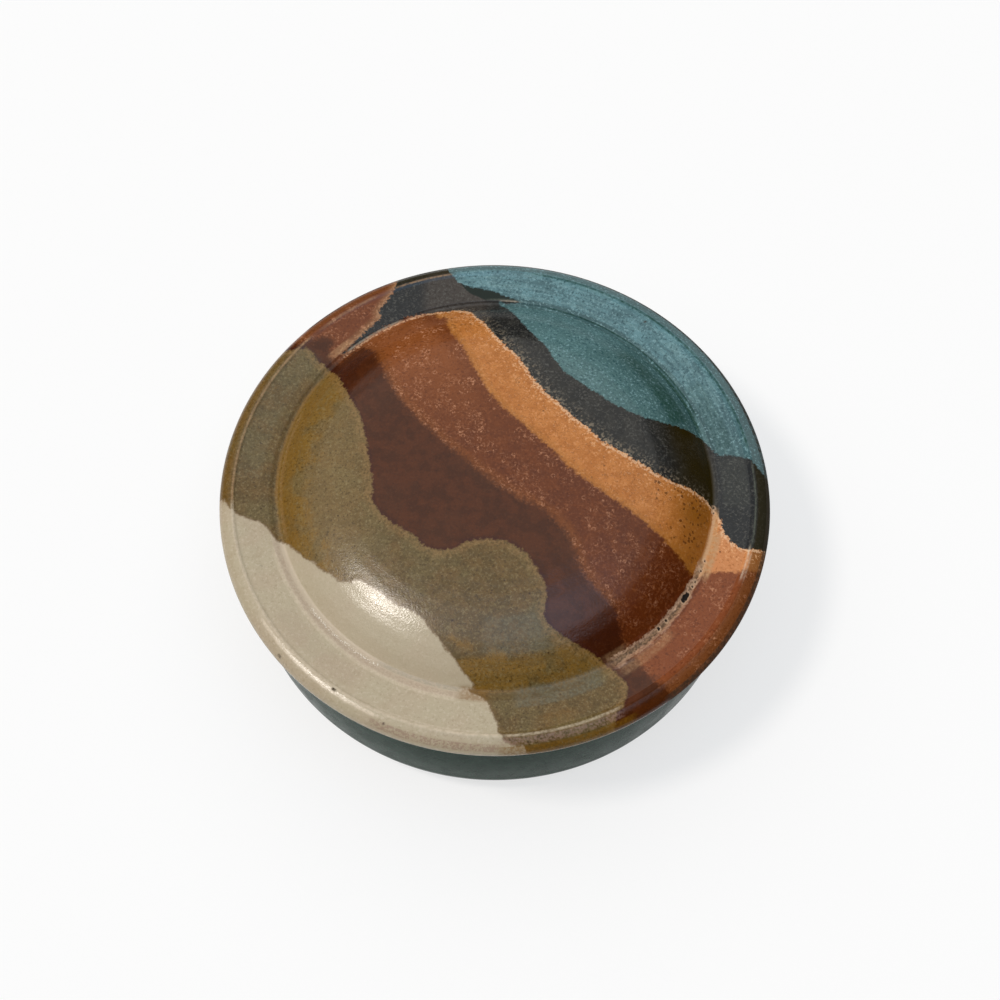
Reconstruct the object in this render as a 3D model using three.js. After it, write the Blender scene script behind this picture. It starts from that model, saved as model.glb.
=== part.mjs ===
// Lidded dish: a wheel-thrown stoneware dish with a flat-brimmed, low-domed lid that lifts off.
// Millimetres, +Z up. The origin is the middle of the foot ring's underside.
import * as THREE from 'three';
import { mergeVertices } from 'three/addons/utils/BufferGeometryUtils.js';

// Dish
const DISH_RADIUS = 92.4; // outside of the wall
const DISH_HEIGHT = 56.2; // foot ring underside to rim
const WALL_THICKNESS = 5.5;
const WALL_BELLY = 0.9; // how far the wall swells past its two ends
const FLOOR_THICKNESS = 5.8;
const RIM_ROUNDING = 1.4;
const OUTER_CORNER_RADIUS = 12;
const INNER_CORNER_RADIUS = 14;

// Foot ring
const FOOT_RADIUS = 70; // outside of the ring
const FOOT_WIDTH = 6.5;
const FOOT_HEIGHT = 3.2;
const FOOT_BEVEL = 0.9;
const FOOT_RECESS = 0.6; // the underside inside the ring is turned this much deeper

// How the lid sits on the dish
const SEAT_GAP = 0.3; // lid's flat underside above the rim
const RING_CLEARANCE = 1.5; // locating ring inside the mouth
const LID_OVERHANG = 7.6; // lid's edge past the wall

// Lid's edge, brim and groove
const EDGE_DROP = 2.5; // widest circle above the flat underside
const BEVEL_WIDTH = 5.3; // widest circle in to the arris
const BEVEL_HEIGHT = 4.4; // widest circle up to the arris
const BEVEL_SWEEP = 65; // degrees turned by the bevel's curve, from upright at the widest circle
const ARRIS_WIDTH = 1.6; // crisp raised line between bevel and brim
const ARRIS_HEIGHT = 0.35; // above the brim beside it
const BRIM_WIDTH = 12.7; // arris in to the groove
const BRIM_FALL = 0.8; // the brim is this much lower at the groove
const GROOVE_SLOPE_WIDTH = 2; // the brim's lip rounds down to the groove's bottom over this width
const GROOVE_BOTTOM_WIDTH = 0.9;
const GROOVE_DEPTH = 0.8;

// Lid's dome
const DOME_HEIGHT = 14.2; // groove's bottom up to the top
const DOME_FULLNESS = 4.6; // a higher power makes the top flatter and the flank steeper
const DOME_THICKNESS = 5.2;
const FLANK_THICKNESS = 1.8; // dome wall at its foot, in plan

// Lid's locating ring
const RING_DEPTH = 6;
const RING_EDGE_THICKNESS = 5;
const RING_ROUNDING = 1.2;

// Facets
const SEGMENTS = 64; // around the axis
const FILLET_STEPS = 3;
const CORNER_STEPS = 6;
const DOME_STEPS = 12;
const DOME_CROWDING = 1.35; // above 1, a dome's steps crowd towards its foot
const GROOVE_STEPS = 4;
const BEVEL_STEPS = 6;
const WALL_STEPS = 4;

// Sizes that follow from those above
const MOUTH_RADIUS = DISH_RADIUS - WALL_THICKNESS;
const LID_RADIUS = DISH_RADIUS + LID_OVERHANG;
const SEAT_LEVEL = DISH_HEIGHT + SEAT_GAP;
const WIDEST_LEVEL = SEAT_LEVEL + EDGE_DROP;
const ARRIS_RADIUS = LID_RADIUS - BEVEL_WIDTH;
const ARRIS_LEVEL = WIDEST_LEVEL + BEVEL_HEIGHT;
const LIP_RADIUS = ARRIS_RADIUS - BRIM_WIDTH;
const LIP_LEVEL = ARRIS_LEVEL - ARRIS_HEIGHT - BRIM_FALL;
const DOME_RADIUS = LIP_RADIUS - GROOVE_SLOPE_WIDTH - GROOVE_BOTTOM_WIDTH;
const GROOVE_LEVEL = LIP_LEVEL - GROOVE_DEPTH;
const RING_OUTER_RADIUS = MOUTH_RADIUS - RING_CLEARANCE;
const RING_INNER_RADIUS = RING_OUTER_RADIUS - RING_EDGE_THICKNESS;

const point = (radius, height) => new THREE.Vector2(radius, height);

// Points of a circle's arc that rounds the corner between two straight runs.
function fillet(before, corner, after, radius, steps = FILLET_STEPS) {
  const toBefore = before.clone().sub(corner).normalize();
  const toAfter = after.clone().sub(corner).normalize();
  const halfAngle = Math.acos(THREE.MathUtils.clamp(toBefore.dot(toAfter), -1, 1)) / 2;
  const tangentLength = radius / Math.tan(halfAngle);
  const start = corner.clone().addScaledVector(toBefore, tangentLength);
  const end = corner.clone().addScaledVector(toAfter, tangentLength);
  const middle = toBefore.clone().add(toAfter).normalize();
  const centre = corner.clone().addScaledVector(middle, radius / Math.sin(halfAngle));
  const startAngle = start.clone().sub(centre).angle();
  let sweep = end.clone().sub(centre).angle() - startAngle;
  if (sweep > Math.PI) sweep -= 2 * Math.PI;
  if (sweep < -Math.PI) sweep += 2 * Math.PI;
  return Array.from({ length: steps + 1 }, (_, step) => {
    const angle = startAngle + (sweep * step) / steps;
    return centre.clone().add(point(Math.cos(angle), Math.sin(angle)).multiplyScalar(radius));
  });
}

// Points between two ends of a run that swells sideways by the given amount at its middle.
function swollenRun(start, end, swell, steps) {
  const along = end.clone().sub(start);
  const sideways = point(along.y, -along.x).normalize();
  return Array.from({ length: steps - 1 }, (_, step) => {
    const share = (step + 1) / steps;
    const rise = 4 * share * (1 - share) * swell;
    return start.clone().addScaledVector(along, share).addScaledVector(sideways, rise);
  });
}

// Points of the lid's edge: a quarter round up to the widest circle, then a flattening bevel to the arris.
function edgeRun() {
  const underEdge = Array.from({ length: FILLET_STEPS + 1 }, (_, step) => {
    const angle = (Math.PI / 2) * (1 - step / FILLET_STEPS);
    const inset = EDGE_DROP * (1 - Math.cos(angle));
    return point(LID_RADIUS - inset, WIDEST_LEVEL - EDGE_DROP * Math.sin(angle));
  });
  const fullSweep = THREE.MathUtils.degToRad(BEVEL_SWEEP);
  const bevel = Array.from({ length: BEVEL_STEPS }, (_, step) => {
    const angle = (fullSweep * (step + 1)) / BEVEL_STEPS;
    const inset = (BEVEL_WIDTH * (1 - Math.cos(angle))) / (1 - Math.cos(fullSweep));
    return point(LID_RADIUS - inset, WIDEST_LEVEL + (BEVEL_HEIGHT * Math.sin(angle)) / Math.sin(fullSweep));
  });
  return [...underEdge, ...bevel];
}

// Height of a dome of the given foot radius and rise at a radius, above its foot.
function domeRise(radius, footRadius, rise) {
  return rise * (1 - (radius / footRadius) ** DOME_FULLNESS);
}

// Points of a dome from its foot to the axis, closer together on the flank.
function domeRun(footRadius, footLevel, rise) {
  return Array.from({ length: DOME_STEPS + 1 }, (_, step) => {
    const radius = footRadius * Math.cos((Math.PI / 2) * (step / DOME_STEPS) ** DOME_CROWDING);
    const onAxis = step === DOME_STEPS;
    return point(onAxis ? 0 : radius, footLevel + domeRise(onAxis ? 0 : radius, footRadius, rise));
  });
}

// Turns an outline of radius and height about the vertical axis.
function thrown(name, outline, material) {
  const lathe = new THREE.LatheGeometry(outline, SEGMENTS);
  lathe.deleteAttribute('normal');
  lathe.deleteAttribute('uv');
  lathe.rotateX(Math.PI / 2);
  const geometry = mergeVertices(lathe, 1e-4);
  const kept = [];
  for (let corner = 0; corner < geometry.index.count; corner += 3) {
    const triangle = [0, 1, 2].map((offset) => geometry.index.getX(corner + offset));
    if (new Set(triangle).size === 3) kept.push(...triangle);
  }
  geometry.setIndex(kept);
  geometry.computeVertexNormals();
  const mesh = new THREE.Mesh(geometry, material);
  mesh.name = name;
  return mesh;
}

// The dish, from the axis under the foot, up the outside and down the inside.
function dishOutline() {
  const underside = FOOT_HEIGHT + FOOT_RECESS;
  const floorLevel = FOOT_HEIGHT + FLOOR_THICKNESS;
  const footInside = FOOT_RADIUS - FOOT_WIDTH;
  const outerCorner = point(DISH_RADIUS, FOOT_HEIGHT);
  const innerCorner = point(MOUTH_RADIUS, floorLevel);
  const rimOutside = point(DISH_RADIUS, DISH_HEIGHT);
  const rimInside = point(MOUTH_RADIUS, DISH_HEIGHT);
  const outside = fillet(point(0, FOOT_HEIGHT), outerCorner, rimOutside, OUTER_CORNER_RADIUS, CORNER_STEPS);
  const rim = [
    ...fillet(outerCorner, rimOutside, rimInside, RIM_ROUNDING),
    ...fillet(rimOutside, rimInside, innerCorner, RIM_ROUNDING),
  ];
  const inside = fillet(rimInside, innerCorner, point(0, floorLevel), INNER_CORNER_RADIUS, CORNER_STEPS);
  return [
    point(0, underside),
    point(footInside - FOOT_RECESS, underside),
    point(footInside, FOOT_BEVEL),
    point(footInside + FOOT_BEVEL, 0),
    point(FOOT_RADIUS - FOOT_BEVEL, 0),
    point(FOOT_RADIUS, FOOT_BEVEL),
    point(FOOT_RADIUS, FOOT_HEIGHT),
    ...outside,
    ...swollenRun(outside.at(-1), rim[0], WALL_BELLY, WALL_STEPS),
    ...rim,
    ...swollenRun(rim.at(-1), inside[0], -WALL_BELLY, WALL_STEPS),
    ...inside,
    point(0, floorLevel),
  ];
}

// The lid, from the axis under the dome, round the locating ring and the brim, and over the dome.
function lidOutline() {
  const undersideRadius = DOME_RADIUS - FLANK_THICKNESS;
  const undersideRise = GROOVE_LEVEL + DOME_HEIGHT - DOME_THICKNESS - SEAT_LEVEL;
  const ringLevel = SEAT_LEVEL - RING_DEPTH;
  const ringRoot = point(undersideRadius, SEAT_LEVEL);
  const ringInside = point(RING_INNER_RADIUS, ringLevel);
  const ringOutside = point(RING_OUTER_RADIUS, ringLevel);
  const ringTop = point(RING_OUTER_RADIUS, SEAT_LEVEL);
  const arrisInside = point(ARRIS_RADIUS - ARRIS_WIDTH, ARRIS_LEVEL - ARRIS_HEIGHT);
  const grooveSlope = Array.from({ length: GROOVE_STEPS + 1 }, (_, step) => {
    const share = step / GROOVE_STEPS;
    const depth = (GROOVE_DEPTH * (1 - Math.cos(Math.PI * share))) / 2;
    return point(LIP_RADIUS - GROOVE_SLOPE_WIDTH * share, LIP_LEVEL - depth);
  });
  return [
    ...domeRun(undersideRadius, SEAT_LEVEL, undersideRise).reverse().slice(0, -1),
    ringRoot,
    ...fillet(ringRoot, ringInside, ringOutside, RING_ROUNDING),
    ...fillet(ringInside, ringOutside, ringTop, RING_ROUNDING),
    ringTop,
    ...edgeRun(),
    arrisInside,
    ...grooveSlope,
    ...domeRun(DOME_RADIUS, GROOVE_LEVEL, DOME_HEIGHT),
  ];
}

const dishGlaze = new THREE.MeshStandardMaterial({ color: 0x44564f, roughness: 0.3, metalness: 0 });
const lidGlaze = new THREE.MeshStandardMaterial({ color: 0x7a5840, roughness: 0.35, metalness: 0 });

const liddedDish = new THREE.Group();
liddedDish.add(thrown('dish', dishOutline(), dishGlaze));
liddedDish.add(thrown('lid', lidOutline(), lidGlaze));

export default liddedDish;
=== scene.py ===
"""Looks of a lidded stoneware dish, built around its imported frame.

Lengths are in millimetres until a mesh, a lamp or the camera is made, and MM turns them into metres.
The lid's glaze lies in sweeping bands: each starts at an edge curve, and later bands lie over earlier ones.
"""
import math

import bpy
import numpy as np
from mathutils import Matrix, Vector


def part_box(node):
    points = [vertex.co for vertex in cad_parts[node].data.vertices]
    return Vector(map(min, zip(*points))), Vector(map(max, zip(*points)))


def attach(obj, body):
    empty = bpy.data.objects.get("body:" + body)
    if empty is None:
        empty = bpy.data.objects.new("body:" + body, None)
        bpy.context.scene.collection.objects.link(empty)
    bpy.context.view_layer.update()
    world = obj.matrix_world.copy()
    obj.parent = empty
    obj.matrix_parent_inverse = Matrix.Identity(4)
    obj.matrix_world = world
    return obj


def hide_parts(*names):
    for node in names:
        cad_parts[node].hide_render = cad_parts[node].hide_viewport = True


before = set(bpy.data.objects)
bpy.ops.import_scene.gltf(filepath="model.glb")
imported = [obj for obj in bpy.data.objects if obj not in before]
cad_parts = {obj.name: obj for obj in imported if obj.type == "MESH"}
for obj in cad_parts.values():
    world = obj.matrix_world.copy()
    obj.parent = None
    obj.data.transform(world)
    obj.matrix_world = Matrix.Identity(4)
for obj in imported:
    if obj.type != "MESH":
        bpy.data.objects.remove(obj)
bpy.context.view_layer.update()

MM = 0.001

# Sizes from the frame
LID_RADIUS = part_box("lid")[1].x / MM
LID_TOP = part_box("lid")[1].z / MM
DISH_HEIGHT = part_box("dish")[1].z / MM

# Dish
DISH_RADIUS = 92.4
WALL_THICKNESS = 5.5
WALL_BELLY = 0.9
FLOOR_THICKNESS = 5.8
RIM_ROUNDING = 1.4
OUTER_CORNER_RADIUS = 12
INNER_CORNER_RADIUS = 14
FOOT_RADIUS = 70
FOOT_WIDTH = 6.5
FOOT_HEIGHT = 3.2
FOOT_BEVEL = 0.9
FOOT_RECESS = 0.6

# Lid
SEAT_GAP = 0.3
RING_CLEARANCE = 1.5
EDGE_DROP = 2.5
BEVEL_WIDTH = 5.3
BEVEL_HEIGHT = 4.4
BEVEL_SWEEP = math.radians(65)
ARRIS_WIDTH = 1.6
ARRIS_HEIGHT = 0.35
BRIM_WIDTH = 12.7
BRIM_FALL = 0.8
GROOVE_SLOPE_WIDTH = 2.3
GROOVE_BOTTOM_WIDTH = 0.6
GROOVE_DEPTH = 0.8
DOME_FULLNESS = 4.6
DOME_THICKNESS = 5.2
FLANK_THICKNESS = 1.8
RING_DEPTH = 6
RING_EDGE_THICKNESS = 5
RING_ROUNDING = 1.2

# Sizes that follow
MOUTH_RADIUS = DISH_RADIUS - WALL_THICKNESS
SEAT_LEVEL = DISH_HEIGHT + SEAT_GAP
WIDEST_LEVEL = SEAT_LEVEL + EDGE_DROP
ARRIS_RADIUS = LID_RADIUS - BEVEL_WIDTH
ARRIS_LEVEL = WIDEST_LEVEL + BEVEL_HEIGHT
LIP_RADIUS = ARRIS_RADIUS - BRIM_WIDTH
LIP_LEVEL = ARRIS_LEVEL - ARRIS_HEIGHT - BRIM_FALL
CREASE_RADIUS = LIP_RADIUS - GROOVE_SLOPE_WIDTH
DOME_RADIUS = CREASE_RADIUS - GROOVE_BOTTOM_WIDTH
GROOVE_LEVEL = LIP_LEVEL - GROOVE_DEPTH
DOME_HEIGHT = LID_TOP - GROOVE_LEVEL
RING_OUTER_RADIUS = MOUTH_RADIUS - RING_CLEARANCE
RING_INNER_RADIUS = RING_OUTER_RADIUS - RING_EDGE_THICKNESS
RING_LEVEL = SEAT_LEVEL - RING_DEPTH

# The potter's hand: the brim and the dome aren't quite concentric with the lid's edge
ARRIS_SHIFT = (-0.55, 0.17)
LIP_SHIFT = (-0.6, 0.4)
DOME_SHIFT = (0, 1.75)

# Mesh fineness
FULL_RING = 768
GLAZED_SPACING = 0.85
PLAIN_SPACING = 2.4
OUTLINE_SOFTNESS = 0.16
TRACE_STEP = 0.05


# Outlines

def straight(start, end):
    """Points of a straight run."""
    start, end = np.array(start, float), np.array(end, float)
    count = max(2, int(np.hypot(*(end - start)) / TRACE_STEP))
    return start + np.linspace(0, 1, count)[:, None] * (end - start)


def fillet(before, corner, after, radius):
    """Points of the arc that rounds a corner between two straight runs."""
    before, corner, after = (np.array(p, float) for p in (before, corner, after))
    to_before = (before - corner) / np.hypot(*(before - corner))
    to_after = (after - corner) / np.hypot(*(after - corner))
    half_angle = math.acos(np.clip(to_before @ to_after, -1, 1)) / 2
    middle = (to_before + to_after) / np.hypot(*(to_before + to_after))
    centre = corner + middle * radius / math.sin(half_angle)
    start = corner + to_before * radius / math.tan(half_angle) - centre
    end = corner + to_after * radius / math.tan(half_angle) - centre
    start_angle = math.atan2(start[1], start[0])
    sweep = math.atan2(end[1], end[0]) - start_angle
    sweep = (sweep + math.pi) % (2 * math.pi) - math.pi
    angles = start_angle + sweep * np.linspace(0, 1, max(4, int(abs(sweep) * radius / TRACE_STEP)))
    return centre + radius * np.stack([np.cos(angles), np.sin(angles)], 1)


def swollen(start, end, swell):
    """Points of a run that swells sideways by the given amount at its middle."""
    line = straight(start, end)
    along = line[-1] - line[0]
    sideways = np.array([along[1], -along[0]]) / np.hypot(*along)
    share = np.linspace(0, 1, len(line))
    return line + (4 * share * (1 - share) * swell)[:, None] * sideways


def dome(foot_radius, foot_level, rise):
    """Points of a dome from its foot to the axis."""
    radius = foot_radius * np.cos(np.linspace(0, math.pi / 2, int(foot_radius / TRACE_STEP)))
    radius[-1] = 0
    return np.stack([radius, foot_level + rise * (1 - (radius / foot_radius) ** DOME_FULLNESS)], 1)


def lid_edge():
    """Points of the lid's edge, from under it round the widest circle and up the bevel to the arris."""
    turn = np.linspace(math.pi / 2, 0, int(EDGE_DROP * math.pi / 2 / TRACE_STEP))
    inset, fall = EDGE_DROP * (1 - np.cos(turn)), EDGE_DROP * np.sin(turn)
    under = np.stack([LID_RADIUS - inset, WIDEST_LEVEL - fall], 1)
    turn = np.linspace(0, BEVEL_SWEEP, int(BEVEL_WIDTH / TRACE_STEP))
    inset = BEVEL_WIDTH * (1 - np.cos(turn)) / (1 - math.cos(BEVEL_SWEEP))
    rise = BEVEL_HEIGHT * np.sin(turn) / math.sin(BEVEL_SWEEP)
    return under, np.stack([LID_RADIUS - inset, WIDEST_LEVEL + rise], 1)


def groove_slope():
    """Points of the rounded slope from the brim's lip down to the crease."""
    share = np.linspace(0, 1, int(GROOVE_SLOPE_WIDTH / TRACE_STEP))
    fall = GROOVE_DEPTH * (1 - np.cos(math.pi * share)) / 2
    return np.stack([LIP_RADIUS - GROOVE_SLOPE_WIDTH * share, LIP_LEVEL - fall], 1)


def lid_runs():
    """The lid's outline as runs of (points, spacing of the mesh's rings, finish)."""
    inside_foot = DOME_RADIUS - FLANK_THICKNESS
    inside_rise = GROOVE_LEVEL + DOME_HEIGHT - DOME_THICKNESS - SEAT_LEVEL
    root = (inside_foot, SEAT_LEVEL)
    ring_inside = (RING_INNER_RADIUS, RING_LEVEL)
    ring_outside = (RING_OUTER_RADIUS, RING_LEVEL)
    ring_top = (RING_OUTER_RADIUS, SEAT_LEVEL)
    inner_corner = fillet(root, ring_inside, ring_outside, RING_ROUNDING)
    outer_corner = fillet(ring_inside, ring_outside, ring_top, RING_ROUNDING)
    under_edge, bevel = lid_edge()
    brim_start = (ARRIS_RADIUS - ARRIS_WIDTH, ARRIS_LEVEL - ARRIS_HEIGHT)
    return [
        (dome(inside_foot, SEAT_LEVEL, inside_rise)[::-1], 1.6, "inside"),
        (straight(root, inner_corner[0]), 0.8, "inside"),
        (inner_corner, 0.4, "bare"),
        (straight(inner_corner[-1], outer_corner[0]), 0.8, "bare"),
        (outer_corner, 0.4, "bare"),
        (straight(outer_corner[-1], ring_top), 0.8, "bare"),
        (straight(ring_top, under_edge[0]), 1.2, "bare"),
        (under_edge, 0.45, "edge"),
        (bevel, 0.4, "edge"),
        (straight(bevel[-1], brim_start), 0.25, "top"),
        (straight(brim_start, (LIP_RADIUS, LIP_LEVEL)), 0.6, "top"),
        (groove_slope(), 0.25, "top"),
        (straight((CREASE_RADIUS, GROOVE_LEVEL), (DOME_RADIUS, GROOVE_LEVEL)), 0.25, "top"),
        (dome(DOME_RADIUS, GROOVE_LEVEL, DOME_HEIGHT), 0.75, "top"),
    ]


def foot_runs():
    """The dish's underside and its foot ring, from the axis out."""
    underside = FOOT_HEIGHT + FOOT_RECESS
    foot_inside = FOOT_RADIUS - FOOT_WIDTH
    corners = [
        (0, underside), (foot_inside - FOOT_RECESS, underside), (foot_inside, FOOT_BEVEL),
        (foot_inside + FOOT_BEVEL, 0), (FOOT_RADIUS - FOOT_BEVEL, 0), (FOOT_RADIUS, FOOT_BEVEL),
        (FOOT_RADIUS, FOOT_HEIGHT),
    ]
    spacings = (2.5, 0.6, 0.4, 0.8, 0.4, 0.5)
    return [(straight(a, b), gap, "bare") for a, b, gap in zip(corners, corners[1:], spacings)]


def dish_runs():
    """The dish's outline as runs of (points, spacing of the mesh's rings, finish)."""
    floor_level = FOOT_HEIGHT + FLOOR_THICKNESS
    outer_corner = (DISH_RADIUS, FOOT_HEIGHT)
    inner_corner = (MOUTH_RADIUS, floor_level)
    rim_outside = (DISH_RADIUS, DISH_HEIGHT)
    rim_inside = (MOUTH_RADIUS, DISH_HEIGHT)
    outside = fillet((0, FOOT_HEIGHT), outer_corner, rim_outside, OUTER_CORNER_RADIUS)
    rim_out = fillet(outer_corner, rim_outside, rim_inside, RIM_ROUNDING)
    rim_in = fillet(rim_outside, rim_inside, inner_corner, RIM_ROUNDING)
    inside = fillet(rim_inside, inner_corner, (0, floor_level), INNER_CORNER_RADIUS)
    return foot_runs() + [
        (straight((FOOT_RADIUS, FOOT_HEIGHT), outside[0]), 0.8, "outside"),
        (outside, 0.8, "outside"),
        (swollen(outside[-1], rim_out[0], WALL_BELLY), 0.9, "outside"),
        (rim_out, 0.35, "outside"),
        (straight(rim_out[-1], rim_in[0]), 0.5, "bare"),
        (rim_in, 0.35, "outside"),
        (swollen(rim_in[-1], inside[0], -WALL_BELLY), 1.0, "outside"),
        (inside, 1.0, "outside"),
        (straight(inside[-1], (0, floor_level)), 1.6, "outside"),
    ]


def stations(runs):
    """Softens the outline's corners and picks the rings: radius, height, normal and finish of each."""
    traced = np.concatenate([points for points, _, _ in runs])
    spacing = np.concatenate([np.full(len(points), gap) for points, gap, _ in runs])
    finish = np.concatenate([np.full(len(points), name) for points, _, name in runs])
    length = np.concatenate([[0], np.cumsum(np.hypot(*np.diff(traced, axis=0).T))])
    even = np.arange(0, length[-1], TRACE_STEP)
    outline = np.stack([np.interp(even, length, traced[:, axis]) for axis in (0, 1)], 1)
    reach = int(4 * OUTLINE_SOFTNESS / TRACE_STEP)
    kernel = np.exp(-(np.arange(-reach, reach + 1) * TRACE_STEP / OUTLINE_SOFTNESS) ** 2 / 2)
    kernel /= kernel.sum()
    padded = np.pad(outline, ((reach, reach), (0, 0)), mode="edge")
    soft = np.stack([np.convolve(padded[:, axis], kernel, mode="valid") for axis in (0, 1)], 1)
    gaps = np.interp(even, length, spacing)
    travelled = np.cumsum(TRACE_STEP / gaps)
    picks = np.unique(np.searchsorted(travelled, np.arange(0, travelled[-1] + 1)))
    picks = np.append(picks[picks < len(soft) - 1], len(soft) - 1)
    tangent = np.gradient(soft, axis=0)
    normal = np.stack([tangent[:, 1], -tangent[:, 0]], 1) / np.hypot(*tangent.T)[:, None]
    nearest = np.clip(np.searchsorted(length, even[picks]), 0, len(finish) - 1)
    radius = soft[picks, 0].copy()
    radius[[0, -1]] = 0
    return radius, soft[picks, 1], normal[picks], finish[nearest]


def ring_size(radius, spacing):
    """Number of points on a ring: the full number, halved while the points stay close enough."""
    count = FULL_RING
    while count > 12 and 2 * math.pi * radius / (count / 2) <= spacing:
        count //= 2
    return count


class Turned:
    """A solid turned from an outline: rings of points, the faces between them, and the data of each point."""

    def __init__(self, runs):
        radius, height, normal, finish = stations(runs)
        self.finish = finish
        fine = np.isin(finish, ("top", "edge"))
        sizes = [ring_size(r, GLAZED_SPACING if f else PLAIN_SPACING) for r, f in zip(radius, fine)]
        sizes[0] = sizes[-1] = 1
        for order in (range(1, len(sizes) - 1), range(len(sizes) - 2, 0, -1)):
            for i in order:
                neighbours = [sizes[j] for j in (i - 1, i + 1) if sizes[j] > 1]
                sizes[i] = max([sizes[i]] + [n // 2 for n in neighbours])
        self.sizes = sizes
        self.starts = np.concatenate([[0], np.cumsum(sizes)])
        self.angle = np.concatenate([np.arange(n) * 2 * math.pi / n for n in sizes])
        self.ring = np.repeat(np.arange(len(sizes)), sizes)
        self.radius = radius[self.ring]
        self.height = height[self.ring]
        self.slope = normal[self.ring]
        self.point_finish = finish[self.ring]

    def positions(self, shift=0, relief=0):
        """Places of the points, moved sideways by shift (x and y) and out along the surface by relief."""
        out = np.stack([np.cos(self.angle), np.sin(self.angle)], 1)
        plan = out * (self.radius + self.slope[:, 0] * relief)[:, None] + shift
        return np.column_stack([plan, self.height + self.slope[:, 1] * relief])

    def faces(self):
        """Faces between neighbouring rings, facing out, and the ring that each belongs to."""
        made, rings = [], []
        for lower in range(len(self.sizes) - 1):
            a, b = self.starts[lower], self.starts[lower + 1]
            m, n = self.sizes[lower], self.sizes[lower + 1]
            before = len(made)
            if m == 1:
                made += [(a, b + (j + 1) % n, b + j) for j in range(n)]
            elif n == 1:
                made += [(a + j, a + (j + 1) % m, b) for j in range(m)]
            elif m == n:
                made += [(a + j, a + (j + 1) % m, b + (j + 1) % n, b + j) for j in range(n)]
            elif m > n:
                for j in range(n):
                    p, q, r = a + 2 * j, a + 2 * j + 1, a + (2 * j + 2) % m
                    s, t = b + j, b + (j + 1) % n
                    made += [(p, q, s), (q, t, s), (q, r, t)]
            else:
                for j in range(m):
                    p, q, r = b + 2 * j, b + 2 * j + 1, b + (2 * j + 2) % n
                    s, t = a + j, a + (j + 1) % m
                    made += [(p, s, q), (s, t, q), (t, r, q)]
            rings += [lower] * (len(made) - before)
        return made, rings


# Random heights for the relief

def bumps(x, y, size, seed):
    """Smooth random heights from -1 to 1, in bumps about size millimetres across."""
    grid = np.random.default_rng(seed).uniform(-1, 1, (256, 256))
    u, v = x / size + 100, y / size + 100
    i, j = np.floor(u).astype(int), np.floor(v).astype(int)
    s, t = u - i, v - j
    s, t = s * s * (3 - 2 * s), t * t * (3 - 2 * t)
    corner = [[grid[(i + di) % 256, (j + dj) % 256] for dj in (0, 1)] for di in (0, 1)]
    low = corner[0][0] * (1 - s) + corner[1][0] * s
    high = corner[0][1] * (1 - s) + corner[1][1] * s
    return low * (1 - t) + high * t


def ease(value, low, high):
    """0 below low, 1 above high, and smooth between them."""
    share = np.clip((value - low) / (high - low), 0, 1)
    return share * share * (3 - 2 * share)


def hump(value, middle, width):
    """A bell of height 1 at the middle."""
    return np.exp(-((value - middle) / width) ** 2)


# Where the bands of glaze begin, as points in plan on the lid: x to the right, y to the back

EDGES = {
    "olive": [
        (-112, 3), (-99, -4.5), (-92.5, -11), (-83, -14.5), (-77.5, -20.5), (-73, -23), (-68, -28.5),
        (-56, -38), (-50.5, -40.5), (-46.5, -40), (-34, -49), (-26, -53.5), (-21.5, -58), (-12.5, -69),
        (-6, -76), (-7.5, -77.5), (-2.5, -80), (0, -84), (3.5, -94), (7.5, -97), (12, -98.5), (18, -112),
    ],
    "aubergine": [
        (-92, 62), (-79, 58.5), (-71.5, 59), (-67, 54), (-61.5, 49.5), (-55, 36.5), (-49.5, 24), (-45.5, 7),
        (-44, -4.5), (-43, -12), (-36.5, -19), (-28.5, -24.5), (-22.5, -29.5), (-13.5, -29.5), (-10, -26.5),
        (-0.5, -25.5), (7.5, -28), (15, -36), (18.5, -44.5), (18, -53.5), (23, -59), (32, -63), (38.5, -66),
        (44.5, -71.5), (47, -76.5), (45, -83), (42.5, -89.5), (44, -112),
    ],
    "rust": [
        (-92, 68), (-76.5, 61), (-66, 64.5), (-61.5, 62), (-62.5, 56.5), (-59, 54), (-52.5, 59.5),
        (-47, 57.5), (-42, 46), (-36.5, 34), (-27, 21.5), (-13, 8), (3.5, -5.5), (17.5, -14), (25, -21.5),
        (29, -31.5), (34, -40.5), (41.5, -48), (44.5, -54), (46.5, -60.5), (55, -71), (62, -77.5),
        (80, -95),
    ],
    "orange": [
        (-40, 112), (-27, 92), (-23.5, 73.5), (-20, 72), (-18, 64.5), (-12.5, 54.5), (-5.5, 39), (1.5, 29),
        (9.5, 21), (20, 11), (27.5, 3), (37.5, -5), (44.5, -10), (53.5, -16.5), (61, -22.5), (66, -27.5),
        (71, -33), (75.5, -31), (87, -30.5), (94, -30), (112, -29),
    ],
    "charcoal": [
        (-38, 112), (-39, 88.5), (-45, 76.5), (-44, 74), (-47, 70.5), (-58, 58), (-51, 63.5), (-44, 69),
        (-37, 73), (-29.5, 76), (-20, 77), (-11.5, 75.5), (-5, 67), (2, 57), (9.5, 48), (14.5, 39),
        (22.5, 30), (31.5, 21.5), (40.5, 13.5), (49.5, 8.5), (60, 2.5), (70, 0), (76.5, -3), (80.5, -7.5),
        (82.5, -15), (87, -20.5), (90.5, -22), (97, -21.5), (112, -20),
    ],
    "teal": [
        (-24, 112), (-21, 100), (-16.5, 91.5), (-11, 88), (-6.5, 87.5), (2.5, 84.5), (7.5, 82), (3.5, 81.5),
        (0, 82), (5.5, 75), (12, 64), (18.5, 55), (23.5, 46), (31.5, 39), (44.5, 30.5), (56.5, 26.5),
        (69, 25.5), (76.5, 23), (81, 17), (87, 16.5), (93.5, 14), (99.5, 7.5), (112, 2),
    ],
}
CURVE_STEPS = 6
FAR_RADIUS = 180


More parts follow.
